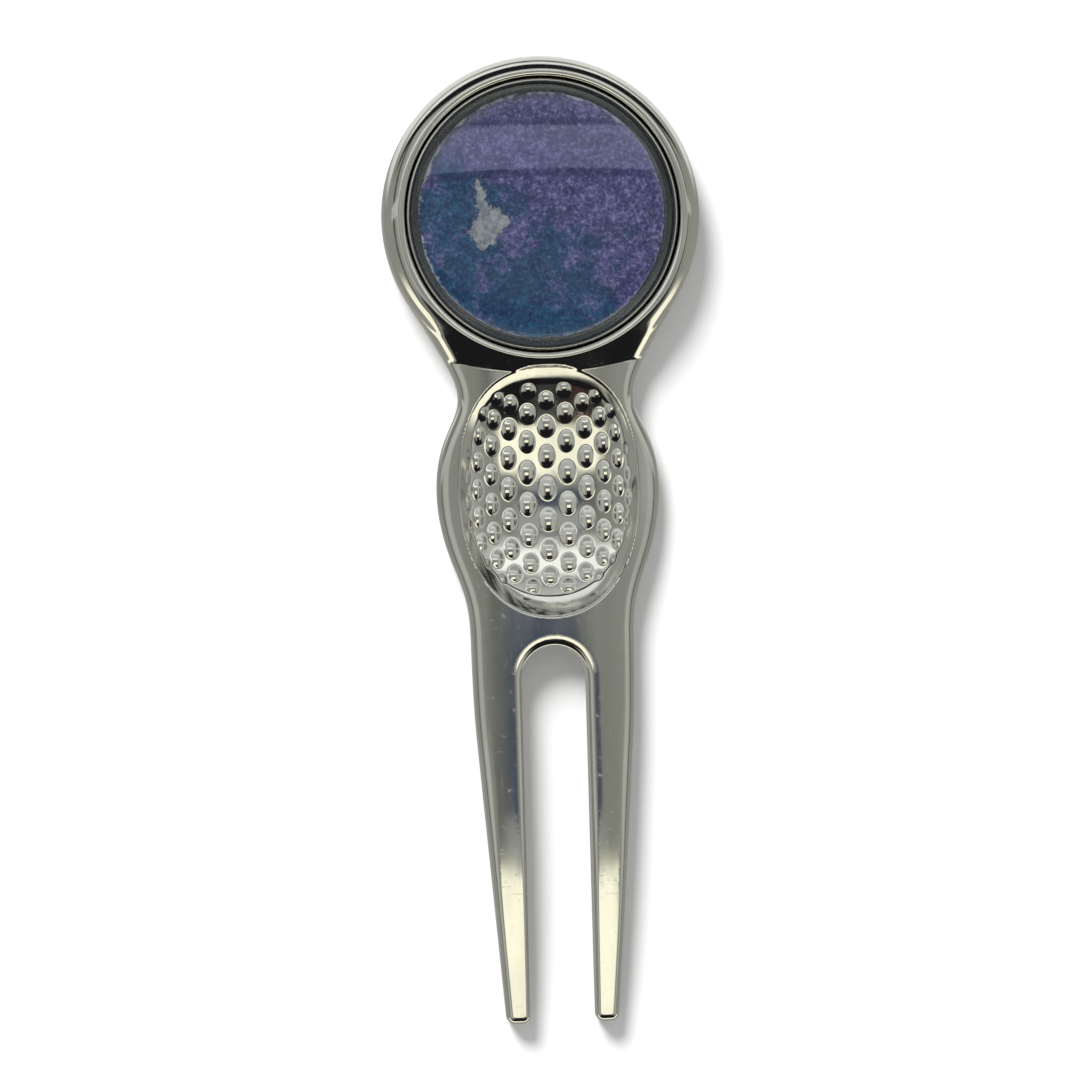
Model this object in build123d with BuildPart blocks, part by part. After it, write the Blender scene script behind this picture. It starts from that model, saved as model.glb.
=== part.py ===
"""Golf divot repair tool: a die-cast two-prong fork with a dimpled thumb bowl,
and a round ball marker held in the head by a magnet.

Row frame, millimetres: the tool lies on its flat back on Z = 0, the face looks up (+Z),
the head points to +Y, the prong tips to -Y, and the origin is the centre of the footprint.
"""

import math
import os

from build123d import *

# ---- Driving dimensions -------------------------------------------------------------

# Whole tool
LENGTH = 84.0
HEAD_RADIUS = 13.8
HEAD_Y = LENGTH / 2 - HEAD_RADIUS
TIP_Y = -LENGTH / 2

# Plate: neck, thumb area and prongs
PLATE_TOP = 3.4
CROWN_RADIUS = 40.0
TIP_THICKNESS = 2.3
SLOPE_START_Y = -23.0
BLEND_ANGLE = 32.5
NECK_Y, NECK_HALF = 12.1, 7.6
THUMB_Y, THUMB_HALF = 4.3, 9.66
WAIST_Y, WAIST_HALF = -9.3, 7.03
PRONG_Y, PRONG_HALF = -17.4, 6.74
TIP_OUTER_X = 4.84
TIP_CORNER = 0.65
FACE_ROUND = 0.5
BACK_ROUND = 0.35

# Slot between the prongs
SLOT_HALF = 2.9
SLOT_CENTRE_Y = -12.1

# Head: a raised disc with a rounded shoulder round the marker's seat
HEAD_TOP = 4.1
SHOULDER_ROUND = 1.15
SEAT_RADIUS = 12.0
SEAT_FLOOR = 1.9
SEAT_LIP = 0.4

# Magnet, glued into a pocket in the seat's floor
MAGNET_RADIUS = 5.0
MAGNET_THICKNESS = 1.0
MAGNET_EDGE = 0.12
GLUE_THICKNESS = 0.1

# Thumb bowl: an oval hollow with a steep wall round a shallow, dished floor
BOWL_Y = 4.15
BOWL_HALF_WIDTH = 7.8
BOWL_HALF_LENGTH = 10.85
WALL_ANGLE = 42.0
FLOOR_Y = 2.6
FLOOR_LOW = 0.9
FLOOR_RADIUS = 28.0
FLOOR_STRETCH = 1.21

# Raised bumps on the floor, as the dimples of a golf ball would press them
BUMP_Y = 4.5
BUMP_SPREAD_X, BUMP_SPREAD_Y = 7.83, 11.1
BUMP_COLUMN_ANGLE = 0.227
BUMP_ROW_ANGLE = 0.253
BUMP_LAST_ANGLE = 1.22
BUMP_HALF_WIDTH = 0.76
BUMP_HALF_LENGTH = 1.04
BUMP_HEIGHT = 0.24

# Ball marker
MARKER_RADIUS = 11.8
CUP_FLOOR = 0.7
CUP_HEIGHT = 1.95
CUP_RIM = 0.4
CUP_ROUND = 0.15
PRINT_RADIUS = 11.0
PRINT_THICKNESS = 0.15
ADHESIVE_THICKNESS = 0.05
DOME_EDGE_DROP = 0.15
DOME_CROWN = 0.6
DOME_SAG = 0.17
DOME_ROLL = 1.0


# ---- Tool body ----------------------------------------------------------------------


def draw_outline():
    """The outline of the whole tool: head arc, waisted sides, prongs and slot."""
    head = CenterArc((0, HEAD_Y), HEAD_RADIUS, 90, -(90 + BLEND_ANGLE))
    side = Spline(
        head @ 1,
        (9.1, 16.5),
        (NECK_HALF, NECK_Y),
        (8.75, 9.1),
        (THUMB_HALF, THUMB_Y),
        (8.75, -1.0),
        (7.35, -5.2),
        (WAIST_HALF, WAIST_Y),
        (PRONG_HALF, PRONG_Y),
        tangents=(head % 1, (TIP_OUTER_X - PRONG_HALF, TIP_Y - PRONG_Y)),
    )
    Line(side @ 1, (TIP_OUTER_X, TIP_Y))
    Line((TIP_OUTER_X, TIP_Y), (SLOT_HALF, TIP_Y))
    Line((SLOT_HALF, TIP_Y), (SLOT_HALF, SLOT_CENTRE_Y))
    CenterArc((0, SLOT_CENTRE_Y), SLOT_HALF, 0, 90)
    mirror(about=Plane.YZ)


def bump_places():
    """Where the bumps stand and how large they are, as (x, y, half width, half length).
    They are a hexagonal net wrapped onto a ball and seen from above, so that they crowd
    together and narrow towards the bowl's edge."""
    columns = int(BUMP_LAST_ANGLE / BUMP_COLUMN_ANGLE) + 1
    rows = int(BUMP_LAST_ANGLE / BUMP_ROW_ANGLE) + 1
    places = []
    for column in range(-columns, columns + 1):
        for row in range(-rows, rows + 1):
            across = column * BUMP_COLUMN_ANGLE
            along = (row + 0.5 * (column % 2)) * BUMP_ROW_ANGLE
            angle = math.hypot(across, along)
            if angle > BUMP_LAST_ANGLE or abs(along) > 0.95:
                continue
            reach = math.sin(angle) / angle if angle else 1.0
            x, y = BUMP_SPREAD_X * across * reach, BUMP_Y + BUMP_SPREAD_Y * along * reach
            aside = (across / angle) ** 2 if angle else 0.0
            narrow = math.sqrt(aside * math.cos(angle) ** 2 + (1 - aside) * reach**2)
            short = math.sqrt((1 - aside) * math.cos(angle) ** 2 + aside * reach**2)
            places.append((x, y, BUMP_HALF_WIDTH * narrow, BUMP_HALF_LENGTH * short))
    return places


def spheroid(radius, half_length):
    """A ball of the given radius, stretched along Y to half_length."""
    with BuildSketch(Plane.XY, mode=Mode.PRIVATE) as half_ellipse:
        Ellipse(radius, half_length)
        box = (radius, 2 * half_length)
        Rectangle(*box, align=(Align.MAX, Align.CENTER), mode=Mode.SUBTRACT)
    return revolve(half_ellipse.sketch, axis=Axis.Y, mode=Mode.PRIVATE)


def cap_radius(half_width, height):
    """The radius of a ball whose cap is this high on a base this wide."""
    return (half_width**2 + height**2) / (2 * height)


with BuildPart() as bowl_cutter:
    # What the bowl takes out: the space over its dished floor and bumps, inside its wall.
    floor_ball = spheroid(FLOOR_RADIUS, FLOOR_RADIUS * FLOOR_STRETCH)
    add(Pos(0, FLOOR_Y, FLOOR_LOW + FLOOR_RADIUS) * floor_ball)
    split(bisect_by=Plane.XY.offset(HEAD_TOP + 0.5), keep=Keep.BOTTOM)
    bumps = []
    for x, y, half_width, half_length in bump_places():
        height = BUMP_HEIGHT * math.sqrt(half_width / BUMP_HALF_WIDTH * half_length / BUMP_HALF_LENGTH)
        radius = cap_radius(half_width, height)
        out = math.hypot(x, (y - FLOOR_Y) / FLOOR_STRETCH)
        foot_z = FLOOR_LOW + FLOOR_RADIUS - math.sqrt(FLOOR_RADIUS**2 - out**2)
        bump = spheroid(radius, radius * half_length / half_width)
        bumps.append(Pos(x, y, foot_z + height - radius) * bump)
    add(bumps, mode=Mode.SUBTRACT)
    # The wall meets the crowned face on the bowl's oval rim.
    wall_radius = BOWL_HALF_WIDTH / math.sin(math.radians(WALL_ANGLE))
    crown_drop = CROWN_RADIUS - math.sqrt(CROWN_RADIUS**2 - BOWL_HALF_WIDTH**2)
    wall_z = PLATE_TOP - crown_drop + wall_radius * math.cos(math.radians(WALL_ANGLE))
    wall_share = math.sqrt(1 - ((wall_z - PLATE_TOP) / wall_radius) ** 2)
    add(
        Pos(0, BOWL_Y, wall_z) * spheroid(wall_radius, BOWL_HALF_LENGTH / wall_share),
        mode=Mode.INTERSECT,
    )

with BuildPart() as head_disc:
    # The head above the plate, turned: a flat back, a straight wall and a round shoulder.
    with BuildSketch(Plane.XZ):
        with BuildLine():
            wall = Line((HEAD_RADIUS, BACK_ROUND), (HEAD_RADIUS, HEAD_TOP - SHOULDER_ROUND))
            shoulder_centre = (HEAD_RADIUS - SHOULDER_ROUND, HEAD_TOP - SHOULDER_ROUND)
            CenterArc(shoulder_centre, SHOULDER_ROUND, 0, 90)
            Line((HEAD_RADIUS - SHOULDER_ROUND, HEAD_TOP), (0, HEAD_TOP))
            Line((0, HEAD_TOP), (0, BACK_ROUND))
            Line((0, BACK_ROUND), wall @ 0)
        make_face()
    revolve(axis=Axis.Z)

with BuildPart() as crowned_bar:
    # The plate's height everywhere: crowned across, level to the slope's start and
    # bending down from there to the tips in one large arc.
    half = HEAD_RADIUS + 1
    with BuildSketch(Plane.XZ.offset(-SLOPE_START_Y)) as section:
        with BuildLine():
            edge_z = PLATE_TOP - CROWN_RADIUS + math.sqrt(CROWN_RADIUS**2 - half**2)
            ThreePointArc((-half, edge_z), (0, PLATE_TOP), (half, edge_z))
            Line((half, edge_z), (half, -1))
            Line((half, -1), (-half, -1))
            Line((-half, -1), (-half, edge_z))
        make_face()
    extrude(amount=SLOPE_START_Y - HEAD_Y - HEAD_RADIUS - 1)
    run = SLOPE_START_Y - TIP_Y
    slope_radius = cap_radius(run, PLATE_TOP - TIP_THICKNESS)
    hub = Axis((0, SLOPE_START_Y, PLATE_TOP - slope_radius), (1, 0, 0))
    sweep_angle = 1.05 * math.degrees(math.asin(run / slope_radius))
    revolve(section.sketch, axis=hub, revolution_arc=sweep_angle)

with BuildPart() as fork_body:
    # The plate: the outline, cut to height by the crowned bar.
    with BuildSketch(Plane.XY):
        with BuildLine():
            draw_outline()
        make_face()
    extrude(amount=HEAD_TOP)
    corners = [e for e in fork_body.edges().filter_by(Axis.Z) if abs(e.center().Y - TIP_Y) < 0.1]
    fillet(corners, radius=TIP_CORNER)
    add(crowned_bar.part, mode=Mode.INTERSECT)
    # Rounded edges all round the back and the face. An edge shared by two of the face's
    # own surfaces is where the slope starts, and stays as it is.
    fillet(fork_body.faces().sort_by(Axis.Z)[0].edges(), radius=BACK_ROUND)
    curved = fork_body.faces().filter_by(GeomType.CYLINDER) + fork_body.faces().filter_by(GeomType.TORUS)
    face = [f for f in curved if f.area > 20 and f.normal_at().Z > 0.5]
    around = [e for f in face for e in f.edges()]
    rim_edges = [e for e in around if sum(e.is_same(other) for other in around) == 1]
    fillet(rim_edges, radius=FACE_ROUND)
    add(Pos(0, HEAD_Y, 0) * head_disc.part)
    # The marker's seat, with an eased lip, and the magnet's pocket in its floor.
    with BuildSketch(Plane.XY.offset(SEAT_FLOOR)):
        with Locations((0, HEAD_Y)):
            Circle(SEAT_RADIUS)
    extrude(amount=HEAD_TOP, mode=Mode.SUBTRACT)
    with BuildSketch(Plane.XY.offset(SEAT_FLOOR - MAGNET_THICKNESS - GLUE_THICKNESS)):
        with Locations((0, HEAD_Y)):
            Circle(MAGNET_RADIUS)
    extrude(amount=HEAD_TOP, mode=Mode.SUBTRACT)
    lip = [
        e
        for e in fork_body.edges().filter_by(GeomType.CIRCLE)
        if abs(e.radius - SEAT_RADIUS) < 0.01 and abs(e.center().Z - HEAD_TOP) < 0.01
    ]
    fillet(lip, radius=SEAT_LIP)
    # The thumb bowl.
    add(bowl_cutter.part, mode=Mode.SUBTRACT)
fork_body.part.label = "fork_body"

# ---- Magnet and its glue ------------------------------------------------------------

with BuildPart() as magnet_adhesive:
    with BuildSketch(Plane.XY.offset(SEAT_FLOOR - MAGNET_THICKNESS - GLUE_THICKNESS)):
        with Locations((0, HEAD_Y)):
            Circle(MAGNET_RADIUS)
    extrude(amount=GLUE_THICKNESS)
magnet_adhesive.part.label = "magnet_adhesive"

with BuildPart() as magnet:
    with BuildSketch(Plane.XY.offset(SEAT_FLOOR - MAGNET_THICKNESS)):
        with Locations((0, HEAD_Y)):
            Circle(MAGNET_RADIUS)
    extrude(amount=MAGNET_THICKNESS)
    chamfer(magnet.faces().sort_by(Axis.Z)[-1].edges(), length=MAGNET_EDGE)
magnet.part.label = "magnet"

# ---- Ball marker --------------------------------------------------------------------

CUP_TOP = SEAT_FLOOR + CUP_HEIGHT
FLOOR_TOP = SEAT_FLOOR + CUP_FLOOR

with BuildPart() as marker_cup:
    # A shallow steel cup: a disc with a raised rim all round.
    with BuildSketch(Plane.XY.offset(SEAT_FLOOR)):
        with Locations((0, HEAD_Y)):
            Circle(MARKER_RADIUS)
    extrude(amount=CUP_HEIGHT)
    with BuildSketch(Plane.XY.offset(FLOOR_TOP)):
        with Locations((0, HEAD_Y)):
            Circle(MARKER_RADIUS - CUP_RIM)
    extrude(amount=CUP_HEIGHT, mode=Mode.SUBTRACT)
    rims = [
        e
        for e in marker_cup.edges().filter_by(GeomType.CIRCLE)
        if abs(e.center().Z - CUP_TOP) < 0.01 or abs(e.center().Z - SEAT_FLOOR) < 0.01
    ]
    fillet(rims, radius=CUP_ROUND)
marker_cup.part.label = "marker_cup"

with BuildPart() as print_adhesive:
    with BuildSketch(Plane.XY.offset(FLOOR_TOP)):
        with Locations((0, HEAD_Y)):
            Circle(PRINT_RADIUS)
    extrude(amount=ADHESIVE_THICKNESS)
print_adhesive.part.label = "print_adhesive"

with BuildPart() as marker_print:
    with BuildSketch(Plane.XY.offset(FLOOR_TOP + ADHESIVE_THICKNESS)):
        with Locations((0, HEAD_Y)):
            Circle(PRINT_RADIUS)
    extrude(amount=PRINT_THICKNESS)
marker_print.part.label = "marker_print"

with BuildPart() as marker_dome:
    # Clear resin poured over the print: it fills the cup to its rim and domes up.
    print_top = FLOOR_TOP + ADHESIVE_THICKNESS + PRINT_THICKNESS
    edge_x = MARKER_RADIUS - CUP_RIM
    edge_z = CUP_TOP - DOME_EDGE_DROP
    with BuildSketch(Plane.XZ):
        with BuildLine():
            Line((0, print_top), (PRINT_RADIUS, print_top))
            Line((PRINT_RADIUS, print_top), (PRINT_RADIUS, FLOOR_TOP))
            Line((PRINT_RADIUS, FLOOR_TOP), (edge_x, FLOOR_TOP))
            Line((edge_x, FLOOR_TOP), (edge_x, edge_z))
            crown = (0, edge_z + DOME_CROWN)
            shoulder = (edge_x - DOME_ROLL, edge_z + DOME_CROWN - DOME_SAG)
            gentle = (-1, 2 * DOME_SAG / shoulder[0])
            Spline((edge_x, edge_z), shoulder, tangents=((-1, 1.7), gentle))
            Spline(shoulder, crown, tangents=(gentle, (-1, 0)))
            Line(crown, (0, print_top))
        make_face()
    revolve(axis=Axis.Z)
marker_dome.part.label = "marker_dome"
marker_dome.part.position = (0, HEAD_Y, 0)

# ---- Files --------------------------------------------------------------------------

os.makedirs("parts", exist_ok=True)
export_step(fork_body.part, "parts/fork_body.step")
export_step(magnet_adhesive.part, "parts/magnet_adhesive.step")
export_step(magnet.part, "parts/magnet.step")
export_step(marker_cup.part, "parts/marker_cup.step")
export_step(print_adhesive.part, "parts/print_adhesive.step")
export_step(marker_print.part, "parts/marker_print.step")
export_step(marker_dome.part, "parts/marker_dome.step")
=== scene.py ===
"""Visual model of a golf divot repair tool with a magnetic ball marker in its head.

The shapes are built in millimetres in the row frame and stored in metres: the tool lies
on its back on Z = 0, its face looks up, the head points to +Y and the prongs to -Y.
"""

import math

import bmesh
import bpy
import numpy as np
from mathutils import Matrix, Vector
from mathutils.geometry import delaunay_2d_cdt
from mathutils.kdtree import KDTree


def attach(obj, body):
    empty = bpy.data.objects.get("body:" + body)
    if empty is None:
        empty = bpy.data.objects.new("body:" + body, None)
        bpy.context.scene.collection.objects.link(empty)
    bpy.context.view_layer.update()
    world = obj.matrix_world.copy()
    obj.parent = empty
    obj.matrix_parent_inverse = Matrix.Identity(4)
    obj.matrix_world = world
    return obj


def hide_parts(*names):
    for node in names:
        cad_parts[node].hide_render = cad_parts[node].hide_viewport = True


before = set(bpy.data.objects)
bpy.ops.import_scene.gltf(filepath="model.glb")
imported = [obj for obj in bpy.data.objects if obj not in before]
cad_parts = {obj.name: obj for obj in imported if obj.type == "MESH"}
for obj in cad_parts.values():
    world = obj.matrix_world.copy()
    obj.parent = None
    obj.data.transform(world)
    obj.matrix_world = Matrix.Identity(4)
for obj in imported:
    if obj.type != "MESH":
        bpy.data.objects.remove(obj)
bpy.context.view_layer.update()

MM = 0.001

# ---- Dimensions, as in the CAD ------------------------------------------------------

LENGTH = 84.0
HEAD_RADIUS = 13.8
HEAD_Y = LENGTH / 2 - HEAD_RADIUS
TIP_Y = -LENGTH / 2
PLATE_TOP = 3.4
CROWN_RADIUS = 40.0
TIP_THICKNESS = 2.3
SLOPE_START_Y = -23.0
BLEND_ANGLE = 32.5
NECK_Y, NECK_HALF = 12.1, 7.6
THUMB_Y, THUMB_HALF = 4.3, 9.66
WAIST_Y, WAIST_HALF = -9.3, 7.03
PRONG_Y, PRONG_HALF = -17.4, 6.74
TIP_OUTER_X = 4.84
TIP_CORNER = 0.65
BACK_ROUND = 0.35
SLOT_HALF = 2.9
SLOT_CENTRE_Y = -12.1
HEAD_TOP = 4.1
SEAT_RADIUS = 12.0
SEAT_FLOOR = 1.9
POCKET_RADIUS = 5.0
POCKET_FLOOR = 0.8
BOWL_Y = 4.15
BOWL_HALF_WIDTH = 7.8
BOWL_HALF_LENGTH = 10.85
WALL_ANGLE = 42.0
FLOOR_Y = 2.6
FLOOR_LOW = 0.9
FLOOR_RADIUS = 28.0
FLOOR_STRETCH = 1.21
BUMP_Y = 4.5
BUMP_SPREAD = (7.83, 11.1)
BUMP_ANGLES = (0.227, 0.253)
BUMP_LAST_ANGLE = 1.22
BUMP_SIZE = (0.76, 1.04)
BUMP_HEIGHT = 0.24
MARKER_RADIUS = 11.8
CUP_RIM = 0.4
CUP_TOP = 3.85
PRINT_RADIUS = 10.85
PRINT_BOTTOM = 2.65
PRINT_TOP = 2.8
DOME_EDGE_Z = 3.7
DOME_CROWN = 0.6

# ---- Small maths --------------------------------------------------------------------


def smooth_max(a, b, k):
    h = np.maximum(k - np.abs(a - b), 0) / k
    return np.maximum(a, b) + h * h * k / 4


def smooth_min(a, b, k):
    return -smooth_max(-a, -b, k)


def smooth_step(lo, hi, v):
    t = np.clip((v - lo) / (hi - lo), 0, 1)
    return t * t * (3 - 2 * t)


def lattice_noise(x, y, seed):
    """Smooth random values from -1 to 1 on a grid of unit cells, for any x and y."""

    def corner(i, j):
        n = (i * 374761393 + j * 668265263 + seed * 2147483647) & 0xFFFFFFFF
        n = ((n ^ (n >> 13)) * 1274126177) & 0xFFFFFFFF
        return ((n ^ (n >> 16)) & 0xFFFF) / 32767.5 - 1

    i, j = np.floor(x).astype(np.int64), np.floor(y).astype(np.int64)
    u, v = x - i, y - j
    u, v = u * u * (3 - 2 * u), v * v * (3 - 2 * v)
    low = corner(i, j) * (1 - u) + corner(i + 1, j) * u
    high = corner(i, j + 1) * (1 - u) + corner(i + 1, j + 1) * u
    return low * (1 - v) + high * v


def cap_radius(half_width, height):
    return (half_width**2 + height**2) / (2 * height)


# ---- The casting's outline ----------------------------------------------------------


def spline_through(points, first, last, step):
    """A smooth cubic curve through the points, leaving along first and ending along last."""
    p = np.array(points, float)
    gap = np.linalg.norm(np.diff(p, axis=0), axis=1)
    n = len(p)
    a, b = np.zeros((n, n)), np.zeros((n, 2))
    a[0, 0] = a[-1, -1] = 1
    b[0] = np.array(first) / np.linalg.norm(first)
    b[-1] = np.array(last) / np.linalg.norm(last)
    for i in range(1, n - 1):
        before, after = gap[i - 1], gap[i]
        a[i, i - 1 : i + 2] = after, 2 * (before + after), before
        b[i] = 3 * (after * (p[i] - p[i - 1]) / before + before * (p[i + 1] - p[i]) / after)
    slope = np.linalg.solve(a, b)
    out = []
    for i in range(n - 1):
        count = max(2, int(gap[i] / step))
        t = np.arange(count)[:, None] / count
        h = gap[i]
        out.append(
            (2 * t**3 - 3 * t**2 + 1) * p[i]
            + (t**3 - 2 * t**2 + t) * h * slope[i]
            + (3 * t**2 - 2 * t**3) * p[i + 1]
            + (t**3 - t**2) * h * slope[i + 1]
        )
    out.append(p[-1:])
    return np.vstack(out)


def arc(centre, radius, start, end, step):
    count = max(4, int(abs(math.radians(end - start)) * radius / step))
    t = np.radians(np.linspace(start, end, count + 1))
    return np.column_stack([centre[0] + radius * np.cos(t), centre[1] + radius * np.sin(t)])


def corner(before, at, after, radius):
    """The rounded corner at a point between two straight edges."""
    before, at, after = (np.array(v, float) for v in (before, at, after))
    u = (before - at) / np.linalg.norm(before - at)
    v = (after - at) / np.linalg.norm(after - at)
    half = math.acos(np.clip(u @ v, -1, 1)) / 2
    middle = (u + v) / np.linalg.norm(u + v)
    centre = at + middle * radius / math.sin(half)
    first = at + u * radius / math.tan(half) - centre
    last = at + v * radius / math.tan(half) - centre
    start, end = (math.degrees(math.atan2(d[1], d[0])) for d in (first, last))
    turn = (end - start + 180) % 360 - 180
    return arc(centre, radius, start, start + turn, 0.1)


def outline_points(step):
    """The closed outline, clockwise from the top of the head, seen from above."""
    head = arc((0, HEAD_Y), HEAD_RADIUS, 90, -BLEND_ANGLE, step)
    turn = math.radians(BLEND_ANGLE)
    side = spline_through(
        [
            head[-1],
            (9.1, 16.5),
            (NECK_HALF, NECK_Y),
            (8.75, 9.1),
            (THUMB_HALF, THUMB_Y),
            (8.75, -1.0),
            (7.35, -5.2),
            (WAIST_HALF, WAIST_Y),
            (PRONG_HALF, PRONG_Y),
        ],
        (-math.sin(turn), -math.cos(turn)),
        (TIP_OUTER_X - PRONG_HALF, TIP_Y - PRONG_Y),
        step,
    )
    outer = corner((PRONG_HALF, PRONG_Y), (TIP_OUTER_X, TIP_Y), (0, TIP_Y), TIP_CORNER)
    inner = corner((TIP_OUTER_X, TIP_Y), (SLOT_HALF, TIP_Y), (SLOT_HALF, 0), TIP_CORNER)
    slot = arc((0, SLOT_CENTRE_Y), SLOT_HALF, 0, 90, step)

    def straight(a, b):
        count = max(1, int(np.linalg.norm(b - a) / step))
        return a + (b - a) * (np.arange(1, count)[:, None] / count)

    half = [head, side[1:], straight(side[-1], outer[0]), outer, straight(outer[-1], inner[0])]
    half += [inner, straight(inner[-1], slot[0]), slot]
    half = np.vstack(half)
    keep = np.append(True, np.linalg.norm(np.diff(half, axis=0), axis=1) > 1e-4)
    half = half[keep]
    other = half[::-1][1:-1] * (-1, 1)
    return np.vstack([half, other])


def inward(loop):
    """Unit normals of a clockwise loop, pointing into it."""
    along = np.roll(loop, -1, axis=0) - np.roll(loop, 1, axis=0)
    along /= np.linalg.norm(along, axis=1)[:, None]
    return np.column_stack([along[:, 1], -along[:, 0]])


# ---- The casting's face -------------------------------------------------------------


def bump_places():
    """(x, y, half width, half length) of each bump: a hexagonal net wrapped on a ball."""
    places = []
    for column in range(-7, 8):
        for row in range(-6, 7):
            across = column * BUMP_ANGLES[0]
            along = (row + 0.5 * (column % 2)) * BUMP_ANGLES[1]
            angle = math.hypot(across, along)
            if angle > BUMP_LAST_ANGLE or abs(along) > 0.95:
                continue
            reach = math.sin(angle) / angle if angle else 1.0
            aside = (across / angle) ** 2 if angle else 0.0
            narrow = math.sqrt(aside * math.cos(angle) ** 2 + (1 - aside) * reach**2)
            short = math.sqrt((1 - aside) * math.cos(angle) ** 2 + aside * reach**2)
            x, y = BUMP_SPREAD[0] * across * reach, BUMP_Y + BUMP_SPREAD[1] * along * reach
            places.append((x, y, BUMP_SIZE[0] * narrow, BUMP_SIZE[1] * short))
    return places


def spheroid_below(x, y, centre_y, centre_z, radius, stretch, outside, fullness=2.0):
    """Height of the underside of a ball stretched along Y. A fullness over 2 squares its
    outline off a little."""
    along = np.abs(y - centre_y) / stretch
    out = (np.abs(x) ** fullness + along**fullness) ** (1 / fullness)
    inside = radius**2 - out**2
    return np.where(inside > 0, centre_z - np.sqrt(np.maximum(inside, 0)), outside)


WALL_RADIUS = BOWL_HALF_WIDTH / math.sin(math.radians(WALL_ANGLE))
RIM_DROP = CROWN_RADIUS - math.sqrt(CROWN_RADIUS**2 - BOWL_HALF_WIDTH**2)
WALL_Z = PLATE_TOP - RIM_DROP + WALL_RADIUS * math.cos(math.radians(WALL_ANGLE))
WALL_STRETCH = BOWL_HALF_LENGTH / (
    WALL_RADIUS * math.sqrt(1 - ((WALL_Z - PLATE_TOP) / WALL_RADIUS) ** 2)
)
SLOPE_RADIUS = cap_radius(SLOPE_START_Y - TIP_Y, PLATE_TOP - TIP_THICKNESS)
BUMPS = bump_places()


def profile(places, slopes, level, at):
    """Heights along a profile given by its downward slope in degrees at some places. It
    stands at the given level where at is."""
    fine = np.linspace(places[0], places[-1], 800)
    fall = np.tan(np.radians(np.interp(fine, places, slopes)))
    height = -np.concatenate([[0], np.cumsum((fall[1:] + fall[:-1]) / 2 * np.diff(fine))])
    height += level - np.interp(at, fine, height)
    return lambda v: np.interp(v, fine, height)


# Across the ring, from the seat's lip out over the crest and down the shoulder.
ring_profile = profile(
    [12.0, 12.06, 12.16, 12.3, 12.42, 12.5, 12.54, 12.6, 13.02, 13.1, 13.45, 13.6, 13.76, 13.8, 14.6],
    [-72, -40, -13, -3, 0, 4, 8, 27, 33, 37, 44, 58, 80, 82, 82],
    HEAD_TOP,
    12.4,
)
# The same towards the neck, where the ring falls away in a plain sloping web.
web_profile = profile(
    [12.0, 12.06, 12.16, 12.3, 12.4, 12.46, 12.56, 16.5, 17.0, 20.0],
    [-72, -40, -13, -3, 0, 8, 31, 31, 60, 80],
    HEAD_TOP,
    12.4,
)
# From the outline inwards: a tight edge running out into a broad, soft rounding.
edge_profile = profile(
    [0, 0.03, 0.08, 0.15, 0.3, 0.5, 0.7, 0.95, 3.0],
    [-80, -62, -46, -33, -23, -14, -7, 0, 0],
    0.0,
    2.0,
)


# How much steeper the bowl's wall is above the plate, and at its sides and lower end.
STEEPER_ABOVE = 3.5
STEEPER_BELOW = 0.35


def bowl_height(x, y, plate):
    # The bowl is fuller towards the head than towards the prongs.
    fullness = np.where(y > FLOOR_Y, 2.3, 2.0)
    floor_z = FLOOR_LOW + FLOOR_RADIUS
    floor = spheroid_below(x, y, FLOOR_Y, floor_z, FLOOR_RADIUS, FLOOR_STRETCH, 9.0, fullness)
    z = floor.copy()
    for bx, by, half_width, half_length in BUMPS:
        scale = math.sqrt(half_width / BUMP_SIZE[0] * half_length / BUMP_SIZE[1])
        height = BUMP_HEIGHT * scale
        near = np.nonzero((np.abs(x - bx) < 1.3 * half_width) & (np.abs(y - by) < 1.3 * half_length))[0]
        if not len(near):
            continue
        out = np.hypot((x[near] - bx) / half_width, (y[near] - by) / half_length)
        # A round cap whose foot runs out smoothly into the floor.
        cap = height * (1 - out**2 * (1 + 0.1 * (1 - out**2)))
        z[near] = smooth_max(z[near], floor[near] + cap, 0.05)
    fullness = np.where(y > BOWL_Y, 2.5, 2.15)
    wall = spheroid_below(x, y, BOWL_Y, WALL_Z, WALL_RADIUS, WALL_STRETCH, 9.0, fullness)
    # Above the plate, where it cuts into the ring's foot, the wall stands steeper.
    wall = np.where(wall > plate, plate + STEEPER_ABOVE * (wall - plate), wall)
    # It is steeper, and so narrower, at the sides and towards the prongs.
    steep = 1 + STEEPER_BELOW * smooth_step(9.0, 3.0, y)
    wall = np.where(wall < plate, plate - steep * (plate - wall), wall)
    return smooth_max(z, wall, 0.1)


# The ring's lip ends at LIP_END from the head's axis. Its shoulder turns into the plain web
# between these two distances towards the prongs.
LIP_END = 12.5
WEB_FROM, WEB_TO = 7.6, 10.6


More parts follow.
